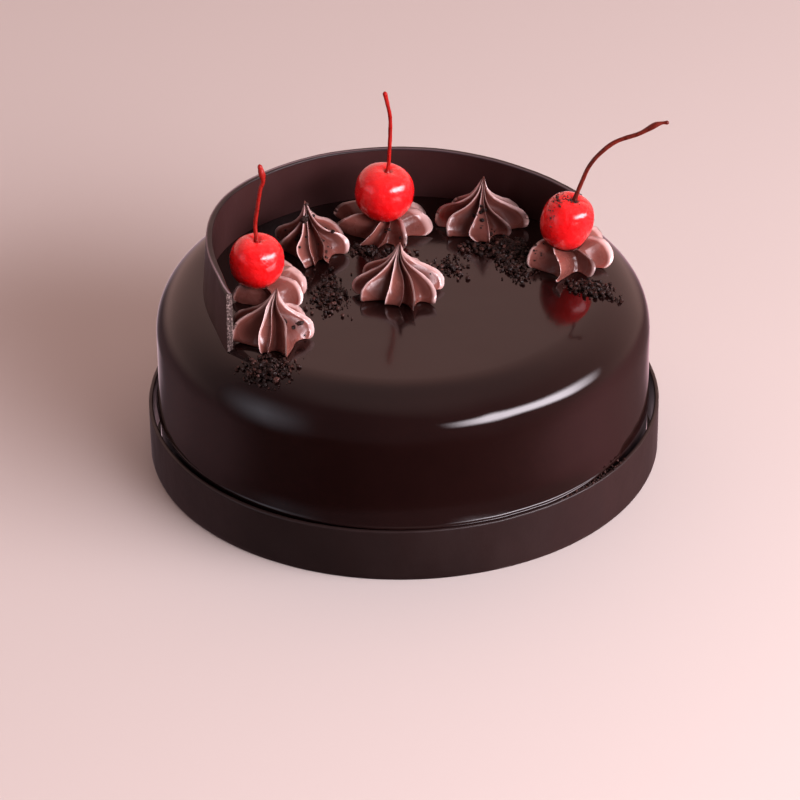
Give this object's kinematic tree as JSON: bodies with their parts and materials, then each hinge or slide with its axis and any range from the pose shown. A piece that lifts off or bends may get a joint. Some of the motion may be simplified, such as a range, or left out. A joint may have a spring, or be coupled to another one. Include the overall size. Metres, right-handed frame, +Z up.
{
  "type": "black forest cake",
  "caption": "Round glazed chocolate cake with a chocolate band at its foot, a curved chocolate collar, piped cream swirls and stemmed cherries on top.",
  "frame": {"origin": "centre of the cake's flat underside", "axes": "+Z up; -Y towards the front, where the collar on top is open; +X to the right seen from the front"},
  "size_m": [0.1664, 0.1649, 0.1112],
  "materials": {
    "chocolate_glaze": "mirror gloss glaze",
    "dark_chocolate": "satin tempered chocolate",
    "chocolate_cream": "smooth piped cream with a soft sheen",
    "cherry": "wet gloss",
    "cherry_stem": "smooth"
  },
  "bodies": {
    "root": {"cake_body": "chocolate_glaze", "base_band": "dark_chocolate", "top_collar": "dark_chocolate", "swirl_front_left": "chocolate_cream", "swirl_left": "chocolate_cream", "swirl_back_left": "chocolate_cream", "swirl_back": "chocolate_cream", "swirl_middle": "chocolate_cream", "swirl_back_right": "chocolate_cream", "swirl_right": "chocolate_cream", "cherry_left": "cherry", "stem_left": "cherry_stem", "cherry_back": "cherry", "stem_back": "cherry_stem", "cherry_right": "cherry", "stem_right": "cherry_stem"}
  },
  "joints": []
}
